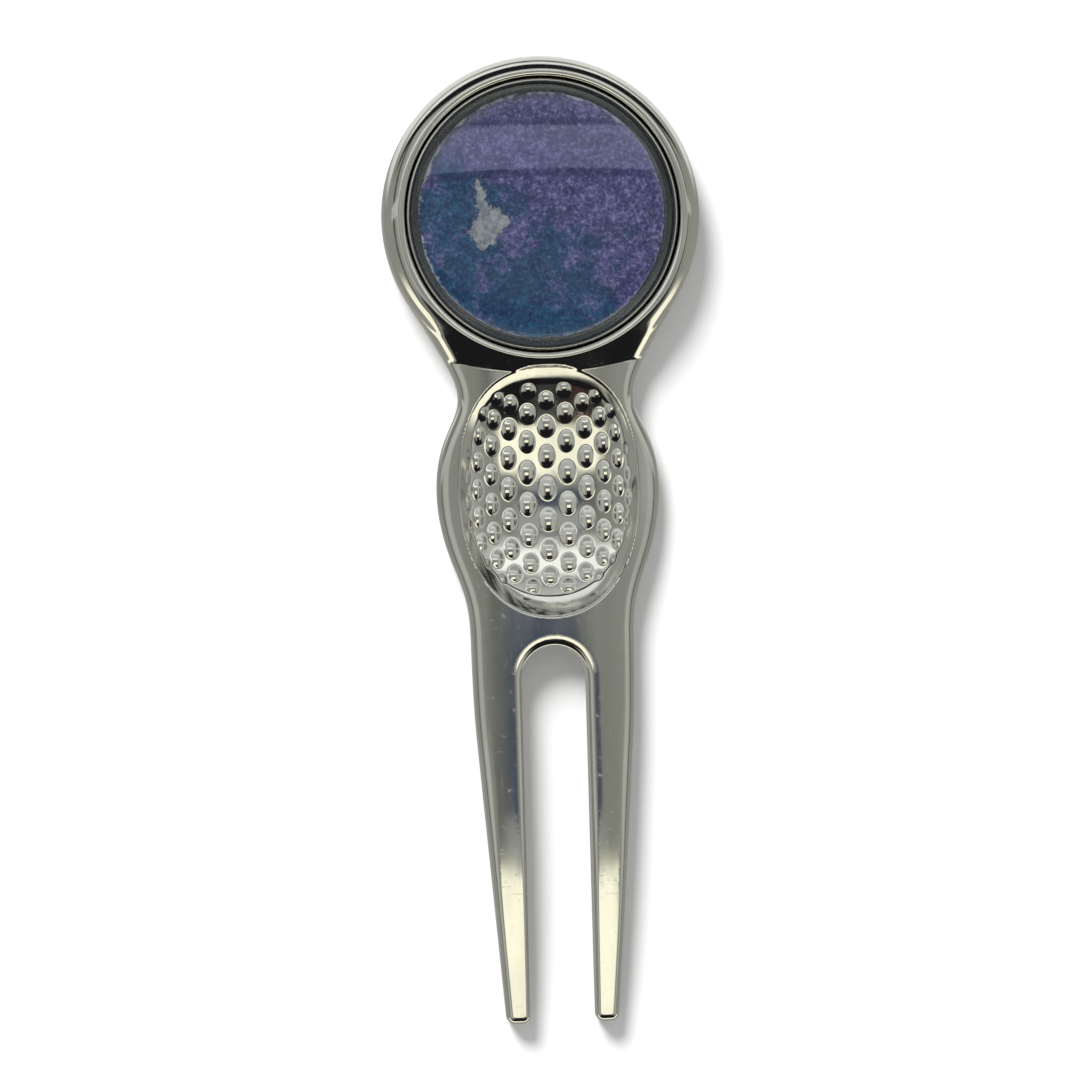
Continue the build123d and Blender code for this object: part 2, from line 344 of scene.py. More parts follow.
def face_height(x, y, inset):
    """Height of the casting's face. inset is the distance in from the outline."""
    drop = CROWN_RADIUS - np.sqrt(CROWN_RADIUS**2 - x**2)
    run = np.minimum(y - SLOPE_START_Y, 0)
    z = PLATE_TOP - drop - (SLOPE_RADIUS - np.sqrt(SLOPE_RADIUS**2 - run**2))
    plate = z.copy()
    # Under the ring the plate sinks out of the shoulder's way.
    z -= 0.6 * smooth_step(20, 26, y)
    # The edges are tighter towards the prongs' tips.
    edge = edge_profile(inset * (1 + 0.9 * smooth_step(-20, -36, y)))
    z += edge
    r = np.hypot(x, y - HEAD_Y)
    neck = smooth_step(HEAD_Y - WEB_FROM, HEAD_Y - WEB_TO, y)
    # Past the head's circle the shoulder stays level until the web takes over.
    shoulder = ring_profile(np.minimum(r, HEAD_RADIUS))
    ring = shoulder * (1 - neck) + (web_profile(r) + 1.4 * edge) * neck
    z = np.where(r < LIP_END, ring, smooth_max(z, ring, 0.03))
    near = (np.abs(x) < 8.6) & (np.abs(y - BOWL_Y) < 12.4)
    bowl = bowl_height(x[near], y[near], plate[near])
    z[near] = smooth_min(z[near], bowl, 0.12)
    return z


def hex_grid(x0, x1, y0, y1, step):
    rows = np.arange(y0, y1, step * 0.866)
    grid = []
    for k, y in enumerate(rows):
        xs = np.arange(x0 + (k % 2) * step / 2, x1, step)
        grid.append(np.column_stack([xs, np.full(len(xs), y)]))
    return np.vstack(grid)


def casting_mesh():
    step = 0.2
    fine = 0.1
    loop = outline_points(step)
    normal = inward(loop)
    tree = KDTree(len(loop))
    for i, p in enumerate(loop):
        tree.insert((p[0], p[1], 0), i)
    tree.balance()

    def distance(points):
        """Distance inside the loop, negative outside."""
        out = np.empty(len(points))
        for k, (px, py) in enumerate(points):
            _, i, _ = tree.find((px, py, 0))
            out[k] = (px - loop[i, 0]) * normal[i, 0] + (py - loop[i, 1]) * normal[i, 1]
        return out

    n = len(loop)
    angles = -np.arange(0, 1, step / (2 * math.pi * SEAT_RADIUS)) * 2 * math.pi
    circle = np.column_stack([np.cos(angles), np.sin(angles)])
    seat = circle * SEAT_RADIUS + (0, HEAD_Y)
    points, inset = [loop, seat], [np.zeros(n), np.full(len(seat), HEAD_RADIUS - SEAT_RADIUS)]
    for d in (0.012, 0.03, 0.055, 0.085, 0.12, 0.16, 0.21, 0.27, 0.34, 0.42, 0.5, 0.6):
        ring = loop + normal * d
        true = distance(ring)
        r = np.hypot(ring[:, 0], ring[:, 1] - HEAD_Y)
        keep = (true > d * 0.985) & (r > SEAT_RADIUS + 0.05)
        points.append(ring[keep])
        inset.append(np.full(keep.sum(), d))
    # Rings of points over the lip and the crest, closest where the profile turns most.
    lip = (0.02, 0.045, 0.075, 0.11, 0.15, 0.2, 0.26, 0.32, 0.37, 0.42)
    crest = (0.46, 0.5, 0.54, 0.58, 0.64, 0.7, 0.77, 0.84, 0.91, 0.98, 1.05, 1.12)
    for r in lip + crest:
        ring = circle * (SEAT_RADIUS + r) + (0, HEAD_Y)
        true = distance(ring)
        keep = true > 0.68
        points.append(ring[keep])
        inset.append(true[keep])
    wide = hex_grid(-13.8, 13.8, TIP_Y, LENGTH / 2, step)
    oval = (wide[:, 0] / 8.7) ** 4 + ((wide[:, 1] - BOWL_Y) / 12.4) ** 4
    from_seat = np.hypot(wide[:, 0], wide[:, 1] - HEAD_Y) - SEAT_RADIUS
    wide = wide[(oval > 1) & (from_seat > 1.2)]
    close = hex_grid(-8.8, 8.8, BOWL_Y - 12.4, BOWL_Y + 12.4, fine)
    oval = (close[:, 0] / 8.7) ** 4 + ((close[:, 1] - BOWL_Y) / 12.4) ** 4
    from_seat = np.hypot(close[:, 0], close[:, 1] - HEAD_Y) - SEAT_RADIUS
    close = close[(oval <= 1) & (from_seat > 1.2)]
    for grid in (wide, close):
        true = distance(grid)
        keep = true > 0.68
        points.append(grid[keep])
        inset.append(true[keep])
    points, inset = np.vstack(points), np.concatenate(inset)
    edges = [(i, (i + 1) % n) for i in range(n)]
    m = len(seat)
    edges += [(n + i, n + (i + 1) % m) for i in range(m)]
    made, _, faces, origin, _, _ = delaunay_2d_cdt(
        [Vector((p[0], p[1])) for p in points], edges, [], 0, 1e-7
    )
    at = np.array([(v.x, v.y) for v in made])
    depth = np.array([inset[o[0]] if o else 1.0 for o in origin])
    z = face_height(at[:, 0], at[:, 1], depth)
    source = {o[0]: k for k, o in enumerate(origin) if o}
    faces = np.array([f for f in faces if len(f) == 3])
    middle = at[faces].mean(axis=1)
    # Long thin triangles outside the outline are told apart by the nearest outline point.
    keep = (distance(middle) > 0) & (np.hypot(middle[:, 0], middle[:, 1] - HEAD_Y) > SEAT_RADIUS * 0.9999)
    seat_set = set(range(n, n + m))
    back = {source[i]: i for i in seat_set if i in source}
    inside_seat = np.array([all(v in back for v in f) for f in faces])
    keep &= ~inside_seat
    faces = faces[keep]

    verts = [tuple(v) for v in np.column_stack([at, z])]
    polys = [tuple(f) for f in faces]
    # Walls: from the face's edge down to the back, with the back's edge rounded.
    rim = [source[i] for i in range(n)]
    above = rim
    top_z = z[rim]
    for share in (0.33, 0.67, 1.0):
        ring = []
        for i in range(n):
            ring.append(len(verts))
            verts.append((loop[i, 0], loop[i, 1], top_z[i] + (BACK_ROUND - top_z[i]) * share))
        for i in range(n):
            j = (i + 1) % n
            polys.append((above[i], above[j], ring[j], ring[i]))
        above = ring
    for turn in (22.5, 45, 67.5, 90):
        t = math.radians(turn)
        shift = BACK_ROUND * (1 - math.cos(t))
        ring = []
        for i in range(n):
            ring.append(len(verts))
            p = loop[i] + normal[i] * shift
            verts.append((p[0], p[1], BACK_ROUND * (1 - math.sin(t))))
        for i in range(n):
            j = (i + 1) % n
            polys.append((above[i], above[j], ring[j], ring[i]))
        above = ring
    polys.append(tuple(above))
    # The seat: wall, floor and the magnet's pocket.
    above = [source[n + i] for i in range(m)]
    profile = [
        (SEAT_RADIUS, 3.4),
        (SEAT_RADIUS, 2.6),
        (SEAT_RADIUS, SEAT_FLOOR + 0.1),
        (SEAT_RADIUS - 0.03, SEAT_FLOOR + 0.03),
        (SEAT_RADIUS - 0.1, SEAT_FLOOR),
        (10.0, SEAT_FLOOR),
        (7.5, SEAT_FLOOR),
        (POCKET_RADIUS + 0.12, SEAT_FLOOR),
        (POCKET_RADIUS + 0.03, SEAT_FLOOR - 0.03),
        (POCKET_RADIUS, SEAT_FLOOR - 0.12),
        (POCKET_RADIUS, POCKET_FLOOR),
    ]
    for r, level in profile:
        ring = []
        for i in range(m):
            ring.append(len(verts))
            verts.append((circle[i, 0] * r, HEAD_Y + circle[i, 1] * r, level))
        for i in range(m):
            j = (i + 1) % m
            polys.append((above[j], above[i], ring[i], ring[j]))
        above = ring
    polys.append(tuple(above))
    return verts, polys


def new_object(name, verts, polys, smooth_angle=40):
    mesh = bpy.data.meshes.new(name)
    mesh.from_pydata([(x * MM, y * MM, z * MM) for x, y, z in verts], [], polys)
    bm = bmesh.new()
    bm.from_mesh(mesh)
    bmesh.ops.remove_doubles(bm, verts=bm.verts, dist=1e-8)
    bmesh.ops.recalc_face_normals(bm, faces=bm.faces)
    bm.to_mesh(mesh)
    bm.free()
    mesh.shade_smooth()
    mesh.set_sharp_from_angle(angle=math.radians(smooth_angle))
    ob = bpy.data.objects.new(name, mesh)
    bpy.context.scene.collection.objects.link(ob)
    return ob


def lathe(name, profile, segments=256, closed=False, smooth_angle=35):
    """A turned piece about the head's axis. profile is (radius, z) from the axis outwards and back."""
    verts, polys, rings = [], [], []
    for r, z in profile:
        if r < 1e-6:
            rings.append([len(verts)] * segments)
            verts.append((0, HEAD_Y, z))
            continue
        rings.append([])
        for k in range(segments):
            t = 2 * math.pi * k / segments
            rings[-1].append(len(verts))
            verts.append((r * math.cos(t), HEAD_Y + r * math.sin(t), z))
    pairs = list(zip(rings, rings[1:] + (rings[:1] if closed else [])))
    if not closed:
        pairs = pairs[: len(rings) - 1]
    for a, b in pairs:
        for k in range(segments):
            j = (k + 1) % segments
            face = []
            for v in (a[k], a[j], b[j], b[k]):
                if v not in face:
                    face.append(v)
            if len(face) > 2:
                polys.append(tuple(face))
    return new_object(name, verts, polys, smooth_angle)


# ---- Materials ----------------------------------------------------------------------


class Nodes:
    """Short ways to add shader nodes to one material or world."""

    def __init__(self, owner, output="ShaderNodeOutputMaterial", at="Object"):
        owner.use_nodes = True
        self.owner = owner
        self.tree = owner.node_tree
        self.tree.nodes.clear()
        self.out = self.tree.nodes.new(output)
        self.at = self.add("ShaderNodeTexCoord").outputs[at]

    def add(self, kind, inputs=(), **settings):
        node = self.tree.nodes.new(kind)
        for key, value in settings.items():
            setattr(node, key, value)
        for key, value in dict(inputs).items():
            self.set(node.inputs[key], value)
        return node

    def set(self, socket, value):
        if isinstance(value, bpy.types.NodeSocket):
            self.tree.links.new(value, socket)
        else:
            socket.default_value = value

    def math(self, operation, a, b=0.0, clamp=False):
        node = self.add("ShaderNodeMath", operation=operation, use_clamp=clamp)
        self.set(node.inputs[0], a)
        self.set(node.inputs[1], b)
        return node.outputs[0]

    def noise(self, scale, detail=2.0, rough=0.5, at=None, warp=0.0):
        inputs = {"Vector": at or self.at, "Scale": scale, "Detail": detail}
        inputs |= {"Roughness": rough, "Distortion": warp}
        return self.add("ShaderNodeTexNoise", inputs).outputs["Fac"]

    def stretch(self, scale, turn=0.0, at=None):
        inputs = {"Vector": at or self.at, "Scale": scale, "Rotation": (0, 0, math.radians(turn))}
        return self.add("ShaderNodeMapping", inputs, vector_type="POINT").outputs[0]

    def band(self, value, lo, hi, to_lo=0.0, to_hi=1.0):
        inputs = {"Value": value, "From Min": lo, "From Max": hi, "To Min": to_lo, "To Max": to_hi}
        node = self.add("ShaderNodeMapRange", inputs, interpolation_type="SMOOTHSTEP")
        return node.outputs[0]

    def mix(self, factor, a, b):
        node = self.add("ShaderNodeMix", data_type="RGBA")
        self.set(node.inputs[0], factor)
        self.set(node.inputs[6], a)
        self.set(node.inputs[7], b)
        return node.outputs[2]

    def bump(self, height, distance, normal=None):
        node = self.add("ShaderNodeBump", {"Height": height, "Distance": distance, "Strength": 1.0})
        if normal is not None:
            self.set(node.inputs["Normal"], normal)
        return node.outputs[0]

    def principled(self, **inputs):
        named = {key.replace("_", " "): value for key, value in inputs.items()}
        node = self.add("ShaderNodeBsdfPrincipled", named)
        self.tree.links.new(node.outputs[0], self.out.inputs[0])
        return node


def plated_metal(name, colour, tint, rough, scratch, painted_shade_within=None):
    """Bright plating: faint casting waviness, fine scratches both ways, smears and dull spots."""
    n = Nodes(bpy.data.materials.new(name))
    smear = n.noise(260, 4, 0.6, at=n.stretch((1.0, 0.35, 1.0), 12))
    spots = n.band(n.noise(1500, 3, 0.7), 0.6, 0.74)
    fine = n.noise(1.0, 3, 0.6, at=n.stretch((9000, 260, 900), 3))
    cross = n.noise(1.0, 2, 0.6, at=n.stretch((400, 7000, 900), 24))
    lines = n.math("ADD", n.band(fine, 0.66, 0.72), n.band(cross, 0.7, 0.75), clamp=True)
    roughness = n.band(smear, 0.35, 0.75, rough * 0.8, rough * 1.7)
    roughness = n.math("ADD", roughness, n.math("MULTIPLY", spots, 0.12))
    roughness = n.math("ADD", roughness, n.math("MULTIPLY", lines, 0.1 * scratch))
    wave = n.bump(n.noise(170, 2, 0.4), 0.000006)
    pits = n.bump(n.math("MULTIPLY", lines, -1.0), 0.0000004 * scratch, wave)
    shade = n.mix(n.band(smear, 0.4, 0.7), colour, tint)
    if painted_shade_within:
        # Painted shade under the resin: the cup's inside and the inner half of its rim are coloured dark.
        where = n.add("ShaderNodeSeparateXYZ", {0: n.at})
        x, y = where.outputs[0], n.math("SUBTRACT", where.outputs[1], HEAD_Y * MM)
        radius = n.math("SQRT", n.math("ADD", n.math("MULTIPLY", x, x), n.math("MULTIPLY", y, y)))
        within = n.band(radius, painted_shade_within + 0.00001, painted_shade_within - 0.00001)
        within = n.math("MULTIPLY", within, n.band(where.outputs[2], 0.0023, 0.0025))
        shade = n.mix(within, shade, (0.075, 0.082, 0.085, 1))
    n.principled(Base_Color=shade, Metallic=1.0, Roughness=roughness, Normal=pits)
    return n.owner


# Radius within which the cup's nickel is coloured dark as painted shade.
PAINTED_SHADE_WITHIN = 11.61
chrome = plated_metal("fork_chrome", (0.70, 0.70, 0.66, 1), (0.64, 0.64, 0.60, 1), 0.07, 1.0)
nickel = plated_metal(
    "marker_nickel", (0.62, 0.62, 0.60, 1), (0.55, 0.55, 0.53, 1), 0.16, 0.8, PAINTED_SHADE_WITHIN * MM
)
magnet_plate = plated_metal("magnet_nickel", (0.72, 0.71, 0.68, 1), (0.66, 0.65, 0.62, 1), 0.14, 1.5)


def glue_material(name, colour, tint):
    n = Nodes(bpy.data.materials.new(name))
    lumps = n.noise(900, 3, 0.5)
    shade = n.mix(n.band(lumps, 0.35, 0.7), colour, tint)
    rough = n.band(n.noise(2600, 2), 0.3, 0.7, 0.18, 0.4)
    n.principled(Base_Color=shade, Roughness=rough, Normal=n.bump(lumps, 0.00003))
    return n.owner


amber_glue = glue_material("cured_glue", (0.62, 0.58, 0.44, 1), (0.48, 0.43, 0.30, 1))
# The print's glue is coloured near black: painted shade in the ring between the print's torn edge and the
# cup's rim.
print_glue_painted_shade = glue_material("print_glue", (0.045, 0.050, 0.055, 1), (0.030, 0.034, 0.038, 1))


def resin_material():
    """Clear cured resin: what lies under it shows through, with a polished top."""
    n = Nodes(bpy.data.materials.new("clear_resin"))
    smear = n.noise(300, 4, 0.6)
    dust = n.band(n.noise(5200, 2, 0.5), 0.72, 0.8)
    rough = n.math("ADD", n.band(smear, 0.4, 0.75, 0.015, 0.06), n.math("MULTIPLY", dust, 0.2))
    normal = n.bump(n.noise(230, 2, 0.4), 0.000004)
    clear = n.add("ShaderNodeBsdfTransparent", {"Color": (0.96, 0.97, 0.98, 1)})
    gloss = n.add("ShaderNodeBsdfGlossy", {"Roughness": rough, "Normal": normal})
    fresnel = n.add("ShaderNodeFresnel", {"IOR": 1.52, "Normal": normal})
    behind = n.add("ShaderNodeNewGeometry").outputs["Backfacing"]
    shine = n.math("MULTIPLY", fresnel.outputs[0], n.math("SUBTRACT", 1.0, behind))
    mixed = n.add("ShaderNodeMixShader", {0: shine})
    n.tree.links.new(clear.outputs[0], mixed.inputs[1])
    n.tree.links.new(gloss.outputs[0], mixed.inputs[2])
    n.tree.links.new(mixed.outputs[0], n.out.inputs[0])
    return n.owner


resin = resin_material()


# ---- The casting, magnet and glue ---------------------------------------------------

fork = new_object("fork_casting", *casting_mesh(), smooth_angle=38)
fork.data.materials.append(chrome)
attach(fork, "fork")
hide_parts("fork_body")

magnet = lathe(
    "magnet_disc",
    [(0, 0.9), (4.86, 0.9), (4.97, 0.93), (5.0, 1.0), (5.0, 1.76), (4.96, 1.85), (4.86, 1.9), (0, 1.9)],
)
magnet.data.materials.append(magnet_plate)
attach(magnet, "fork")
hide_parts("magnet")

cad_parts["magnet_adhesive"].data.materials.clear()
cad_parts["magnet_adhesive"].data.materials.append(amber_glue)
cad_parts["print_adhesive"].data.materials.clear()
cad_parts["print_adhesive"].data.materials.append(print_glue_painted_shade)

# ---- The marker ---------------------------------------------------------------------


def quarter(centre_r, centre_z, radius, start, end, count=5):
    """Points round a quarter circle of a profile, from start to end degrees."""
    t = np.radians(np.linspace(start, end, count))
    return [(centre_r + radius * math.cos(a), centre_z + radius * math.sin(a)) for a in t]


cup_in = MARKER_RADIUS - CUP_RIM
cup = lathe(
    "marker_base",
    [(0, 1.9), (6.0, 1.9), (11.0, 1.9)]
    + quarter(MARKER_RADIUS - 0.3, 2.2, 0.3, -90, 0)
    + [(MARKER_RADIUS, 3.2)]
    + quarter(MARKER_RADIUS - 0.17, CUP_TOP - 0.17, 0.17, 0, 90)
    + quarter(cup_in + 0.15, CUP_TOP - 0.15, 0.15, 90, 180)
    + [(cup_in, 3.0), (cup_in, 2.66), (cup_in - 0.02, 2.61), (cup_in - 0.06, 2.6), (6.0, 2.6), (0, 2.6)],
)
cup.data.materials.append(nickel)
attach(cup, "marker")
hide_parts("marker_cup")

dome_edge = cup_in - 0.004
resin_profile = profile(
    [0, 9.0, 10.0, 10.6, 11.0, 11.3, cup_in],
    [0, 1.6, 3, 6, 12, 22, 30],
    DOME_EDGE_Z + DOME_CROWN,
    0.0,
)
dome_profile = [(0, PRINT_TOP + 0.03), (11.1, PRINT_TOP + 0.03), (11.12, 2.62), (dome_edge, 2.62)]
dome_profile += [(dome_edge, 3.1), (dome_edge, DOME_EDGE_Z - 0.02)]
for k in range(49):
    r = dome_edge * math.cos(k / 48 * math.pi / 2) if k < 48 else 0
    dome_profile.append((r, float(resin_profile(r))))
dome = lathe("marker_resin", dome_profile, closed=True)
dome.data.materials.append(resin)
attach(dome, "marker")
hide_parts("marker_dome")


def torn_edge(angle):
    """How far the print's torn edge stands in from its full radius, in millimetres."""
    turn = angle / (2 * math.pi)
    coarse = lattice_noise(turn * 23, np.zeros_like(turn) + 0.5, 3)
    middle = lattice_noise(turn * 71, np.zeros_like(turn) + 0.5, 5)
    fine = lattice_noise(turn * 310, np.zeros_like(turn) + 0.5, 9)
    return 0.10 + 0.12 * coarse**2 + 0.09 * np.abs(middle) + 0.05 * np.abs(fine)


def print_mesh():
    """The printed paper disc, with a torn edge that lifts a little."""
    segments = 900
    angles = np.arange(segments) / segments * 2 * math.pi
    limit = PRINT_RADIUS - torn_edge(angles)
    rings = [0.0] + list(np.linspace(0.04, 0.93, 26)) + [0.955, 0.97, 0.98, 0.988, 0.994, 1.0]
    verts, polys, ids = [], [], []
    for share in rings:
        if share == 0:
            ids.append([0] * segments)
            verts.append((0, HEAD_Y, PRINT_TOP))
            continue
        ids.append([])
        x, y = limit * share * np.cos(angles), limit * share * np.sin(angles)
        fray = smooth_step(0.93, 1.0, share) * 0.02 * lattice_noise(x * 6, y * 6, 13)
        for k in range(segments):
            ids[-1].append(len(verts))
            verts.append((x[k], HEAD_Y + y[k], PRINT_TOP + fray[k]))
    under = []
    for k in range(segments):
        under.append(len(verts))
        x, y, _ = verts[ids[-1][k]]
        verts.append((x, y, PRINT_BOTTOM))
    ids.append(under)
    for a, b in zip(ids, ids[1:]):
        for k in range(segments):
            j = (k + 1) % segments
            face = [v for v in (a[k], b[k], b[j])] + ([a[j]] if a[j] != a[k] else [])
            polys.append(tuple(face))
    polys.append(tuple(reversed(under)))
    return verts, polys


def print_material():
    """Violet and blue print with a fine pale speckle, worn pale at its edge and where scraped."""
    n = Nodes(bpy.data.materials.new("printed_paper"))
    where = n.add("ShaderNodeSeparateXYZ", {0: n.at})
    x, y = where.outputs[0], n.math("SUBTRACT", where.outputs[1], HEAD_Y * MM)
    radius = n.math("SQRT", n.math("ADD", n.math("MULTIPLY", x, x), n.math("MULTIPLY", y, y)))
    broad = n.noise(150, 5, 0.62, warp=0.4)
    blotch = n.noise(620, 6, 0.72)
    # Violet towards the head's top and right, blue towards the lower left.
    slant = n.math("ADD", n.math("MULTIPLY", x, 36.0), n.math("MULTIPLY", y, 62.0))
    slant = n.math("ADD", slant, n.math("MULTIPLY", n.math("SUBTRACT", broad, 0.5), 2.6))
    slant = n.math("ADD", slant, n.math("MULTIPLY", n.math("SUBTRACT", blotch, 0.5), 2.6))
    violet = n.mix(n.band(blotch, 0.35, 0.65), (0.030, 0.034, 0.100, 1), (0.088, 0.080, 0.205, 1))
    blue = n.mix(n.band(blotch, 0.35, 0.65), (0.004, 0.035, 0.085, 1), (0.010, 0.070, 0.140, 1))
    ink = n.mix(n.band(slant, -0.50, 0.12), blue, violet)
    grain = n.noise(3100, 3, 0.7)
    pale = n.math("MULTIPLY", n.band(grain, 0.52, 0.66, 0.0, 0.40), n.band(slant, -0.5, 0.12, 0.3, 1.0))
    ink = n.mix(pale, ink, (0.30, 0.30, 0.46, 1))
    ink = n.mix(n.band(grain, 0.50, 0.36, 0.0, 0.75), ink, (0.010, 0.012, 0.045, 1))
    dark = n.band(n.noise(1500, 4, 0.65), 0.50, 0.66)
    ink = n.mix(n.math("MULTIPLY", dark, 0.55), ink, (0.012, 0.016, 0.07, 1))
    # Painted reflection: a pale stretch across the upper half, with darker lines along its two edges.
    reflection_across = n.math("ADD", y, n.math("MULTIPLY", n.math("MULTIPLY", x, x), 4.0))
    painted_reflection = n.math("MULTIPLY", n.band(reflection_across, 0.0040, 0.0042), n.band(reflection_across, 0.0079, 0.0077))
    ink = n.mix(n.math("MULTIPLY", painted_reflection, 0.20), ink, (0.28, 0.28, 0.40, 1))
    # The darker lines along the painted reflection's edges.
    below = n.math("MULTIPLY", n.band(reflection_across, 0.0032, 0.0035), n.band(reflection_across, 0.0041, 0.0039))
    above = n.math("MULTIPLY", n.band(reflection_across, 0.0079, 0.0080), n.band(reflection_across, 0.0085, 0.0082))
    line = n.math("MULTIPLY", n.math("ADD", below, above), 0.5)
    ink = n.mix(line, ink, (0.012, 0.014, 0.06, 1))
    # The scrape: an irregular patch with a thin streak running up and to the left.
    rag = n.math("MULTIPLY", n.math("SUBTRACT", n.noise(700, 6, 0.7), 0.5), 0.0030)

    def blob(cx, cy, rx, ry, turn):
        place = n.add(
            "ShaderNodeMapping",
            {
                "Vector": n.at,
                "Location": (cx * MM, (HEAD_Y + cy) * MM, 0),
                "Rotation": (0, 0, math.radians(turn)),
                "Scale": (rx * MM, ry * MM, 1),
            },
            vector_type="TEXTURE",
        ).outputs[0]
        flat = n.add("ShaderNodeVectorMath", {0: place, 1: (1, 1, 0)}, operation="MULTIPLY")
        far = n.add("ShaderNodeVectorMath", {0: flat.outputs[0]}, operation="LENGTH").outputs["Value"]
        return n.math("MULTIPLY", n.math("SUBTRACT", 1.0, far), min(rx, ry) * MM)

    patch = n.math("MAXIMUM", blob(-4.9, -1.1, 1.5, 1.9, -25), blob(-5.1, 1.2, 0.6, 2.2, 12))
    patch = n.math("MAXIMUM", patch, blob(-3.9, -0.2, 1.0, 1.0, 0))
    scraped = n.band(n.math("ADD", patch, rag), 0.00005, 0.00022)
    fibre = n.noise(1900, 4, 0.7)
    bare = n.mix(n.band(fibre, 0.35, 0.65), (0.12, 0.13, 0.15, 1), (0.27, 0.28, 0.29, 1))
    ink = n.mix(scraped, ink, bare)
    edge = n.math("ADD", radius, n.math("MULTIPLY", n.math("SUBTRACT", n.noise(900, 5, 0.7), 0.5), 0.0016))
    upper = n.band(n.math("SUBTRACT", y, n.math("MULTIPLY", x, 0.8)), -0.002, 0.008)
    amount = n.math("ADD", n.math("MULTIPLY", upper, 0.7), 0.3)
    worn = n.math("MULTIPLY", n.band(edge, 0.01048, 0.01075), amount)
    ink = n.mix(worn, ink, (0.36, 0.38, 0.42, 1))
    rough = n.band(fibre, 0.3, 0.7, 0.55, 0.8)
    relief = n.math("SUBTRACT", n.math("MULTIPLY", fibre, 0.4), n.math("MULTIPLY", scraped, 1.0))
    n.principled(Base_Color=ink, Roughness=rough, Normal=n.bump(relief, 0.00004))
    return n.owner


paper = new_object("printed_disc", *print_mesh(), smooth_angle=50)
paper.data.materials.append(print_material())
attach(paper, "marker")
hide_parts("marker_print")

# ---- Studio -------------------------------------------------------------------------

floor_mesh = bpy.data.meshes.new("floor")
bm = bmesh.new()
bmesh.ops.create_grid(bm, x_segments=2, y_segments=2, size=1.5)
bm.to_mesh(floor_mesh)
bm.free()
floor = bpy.data.objects.new("floor", floor_mesh)
floor.location.z = -0.0003
bpy.context.scene.collection.objects.link(floor)
n = Nodes(bpy.data.materials.new("floor_white"))
tone = n.mix(n.noise(3.0, 3), (0.92, 0.92, 0.92, 1), (0.935, 0.935, 0.935, 1))
n.principled(Base_Color=tone, Roughness=0.9)
floor.data.materials.append(n.owner)
floor.visible_glossy = False

world = bpy.data.worlds.new("studio")
bpy.context.scene.world = world
n = Nodes(world, "ShaderNodeOutputWorld", "Generated")
way = n.add("ShaderNodeSeparateXYZ", {0: n.at})
upward = n.math("MAXIMUM", way.outputs[2], 0.0001)
# Angles from straight up, in degrees: towards the head (+) or prongs (-), and to the right (+).
ragged = n.math("MULTIPLY", n.math("SUBTRACT", n.noise(7, 4, 0.6), 0.5), 4.0)
lean = n.math("MULTIPLY", n.math("ARCTAN2", way.outputs[1], upward), 180 / math.pi)
lean = n.math("ADD", lean, ragged)
aside = n.math("MULTIPLY", n.math("ARCTAN2", way.outputs[0], upward), 180 / math.pi)


def ramp(value, stops):
    """Colour by an angle from -90 to 90 degrees."""
    at = n.math("ADD", n.math("DIVIDE", value, 180.0), 0.5)
    node = n.add("ShaderNodeValToRGB", {0: at})
    line = node.color_ramp
    line.interpolation = "EASE"
    for k, (angle, colour) in enumerate(stops):
        place = (angle + 90) / 180
        element = line.elements[k] if k < 2 else line.elements.new(place)
        element.position = place
        element.color = (*colour, 1)
    return node.outputs[0]


def panel(under, colour, lean_range, aside_range, soft=1.5, soft_side=4.0):
    """A soft-edged rectangle of colour laid over the room."""
    (a, b), (c, d) = lean_range, aside_range
    cover = n.math("MULTIPLY", n.band(lean, a - soft, a + soft), n.band(lean, b + soft, b - soft))
    cover = n.math("MULTIPLY", cover, n.band(aside, c - soft_side, c + soft_side))
    cover = n.math("MULTIPLY", cover, n.band(aside, d + soft_side, d - soft_side))
    return n.mix(cover, under, (*colour, 1))


room = ramp(
    aside,
    [
        (-88, (0.36, 0.36, 0.33)),
        (-64, (0.34, 0.34, 0.31)),
        (-60, (0.03, 0.03, 0.03)),
        (-56, (0.38, 0.38, 0.35)),
        (-42, (0.55, 0.56, 0.53)),
        (-30, (0.54, 0.55, 0.52)),
        (-22, (0.33, 0.335, 0.305)),
        (-13, (0.28, 0.285, 0.25)),
        (-10, (0.16, 0.165, 0.15)),
        (-6, (0.074, 0.09, 0.135)),
        (10, (0.074, 0.09, 0.135)),
        (13, (0.15, 0.155, 0.15)),
        (17, (0.27, 0.275, 0.245)),
        (26, (0.335, 0.34, 0.31)),
        (35, (0.54, 0.55, 0.52)),
        (48, (0.50, 0.51, 0.48)),
        (56, (0.38, 0.38, 0.35)),
        (60, (0.03, 0.03, 0.03)),
        (64, (0.34, 0.34, 0.31)),
        (88, (0.36, 0.36, 0.33)),
    ],
)
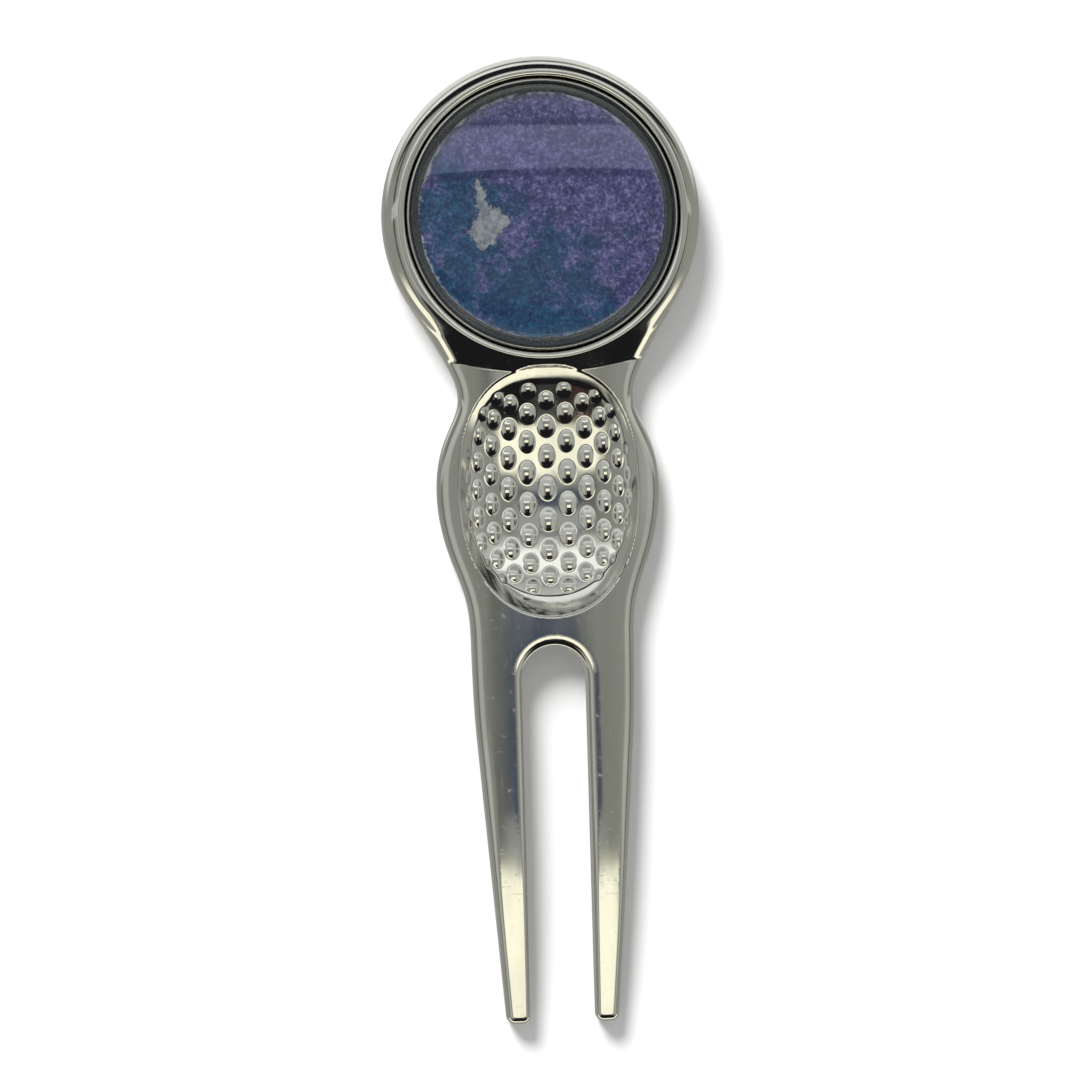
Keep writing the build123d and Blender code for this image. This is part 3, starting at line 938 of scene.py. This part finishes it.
# Each panel: colour, lean from and to, aside from and to, then how soft its edges are. A
# later panel lies over an earlier one.
panels = [
    ((0.60, 0.61, 0.58), (6.5, 17), (-70, 70), 1.2),
    ((0.42, 0.43, 0.41), (-0.3, 5.5), (-9, 17), 1.0, 2.0),
    ((0.36, 0.37, 0.35), (-8.0, -4.0), (-9, 17), 1.0, 2.0),
    ((1.30, 1.31, 1.27), (9.5, 15.5), (-22, 24), 1.0, 2.0),
    ((0.62, 0.63, 0.61), (18, 28), (-40, 40), 1.0),
    ((0.85, 0.86, 0.84), (28.5, 37), (-40, 40)),
    ((0.42, 0.43, 0.41), (37, 59), (-50, 50)),
    ((0.012, 0.014, 0.016), (54, 72), (-75, 75), 1.0),
    ((1.05, 1.06, 1.04), (72.5, 84), (-80, 80), 1.0),
    ((0.05, 0.05, 0.05), (86, 95), (-80, 80), 1.0),
    ((0.012, 0.012, 0.014), (-70, -36), (-52, 60)),
    ((0.012, 0.012, 0.014), (-40, -19.5), (-13, 25), 1.5, 2.5),
    ((0.060, 0.066, 0.064), (-31, -19.5), (3, 9), 1.5, 2.0),
    ((0.080, 0.036, 0.036), (-31, -19.5), (-7, 0), 1.5, 2.0),
    ((1.42, 1.38, 1.12), (-19.5, -7.5), (-13, 21), 0.8, 2.0),
]
for settings in panels:
    room = panel(room, *settings)
# A low, warm light all along the side that the prongs point to.
low = n.math("MULTIPLY", n.band(way.outputs[2], 0.35, 0.31), n.band(way.outputs[2], -0.01, 0.02))
low = n.math("MULTIPLY", low, n.band(way.outputs[1], -0.30, -0.50))
room = n.mix(low, room, (1.42, 1.38, 1.12, 1))
# The bright floor beyond the head.
beyond = n.math("MULTIPLY", n.band(way.outputs[2], 0.03, -0.05), n.band(way.outputs[1], 0.12, 0.38))
room = n.mix(beyond, room, (0.95, 0.95, 0.93, 1))
# Only reflections show the room. Soft light comes evenly from all round, and the backdrop
# is white.
path = n.add("ShaderNodeLightPath")
lit = n.mix(path.outputs["Is Diffuse Ray"], room, (0.48, 0.48, 0.485, 1))
shown = n.mix(path.outputs["Is Camera Ray"], lit, (1, 1, 1, 1))
background = n.add("ShaderNodeBackground", {"Color": shown, "Strength": 1.0})
n.tree.links.new(background.outputs[0], n.out.inputs[0])

KEY_STRENGTH = 3.9
KEY_SOFTNESS = 24
KEY_FROM = (-0.56, 1.14, 1.0)
key = bpy.data.lights.new("key", "SUN")
key.energy = KEY_STRENGTH
key.angle = math.radians(KEY_SOFTNESS)
key_object = bpy.data.objects.new("key", key)
key_object.rotation_euler = Vector(KEY_FROM).to_track_quat("Z", "Y").to_euler()
bpy.context.scene.collection.objects.link(key_object)
key_object.visible_glossy = False

camera = bpy.data.cameras.new("camera")
camera.lens = 170
camera.sensor_width = 36
camera_object = bpy.data.objects.new("camera", camera)
bpy.context.scene.collection.objects.link(camera_object)
bpy.context.scene.camera = camera_object
# How wide a stretch the frame shows, in metres, and how the camera leans and turns.
VIEW_WIDTH = 0.0940
tilt, roll = math.radians(5.0), math.radians(-1.63)
target = Vector((-0.00083, 0.0, 0.0015))
back = Vector((-math.sin(tilt), 0.0, math.cos(tilt)))
across = Vector((math.cos(tilt), 0.0, math.sin(tilt)))
up = Vector((0.0, 1.0, 0.0))
right = across * math.cos(roll) + up * math.sin(roll)
top = up * math.cos(roll) - across * math.sin(roll)
facing = Matrix((right, top, back)).transposed().to_4x4()
distance = VIEW_WIDTH * camera.lens / camera.sensor_width
camera_object.matrix_world = Matrix.Translation(target + back * distance) @ facing
camera.clip_start, camera.clip_end = 0.01, 10

bpy.context.scene.view_settings.view_transform = "Standard"
bpy.context.scene.view_settings.look = "None"
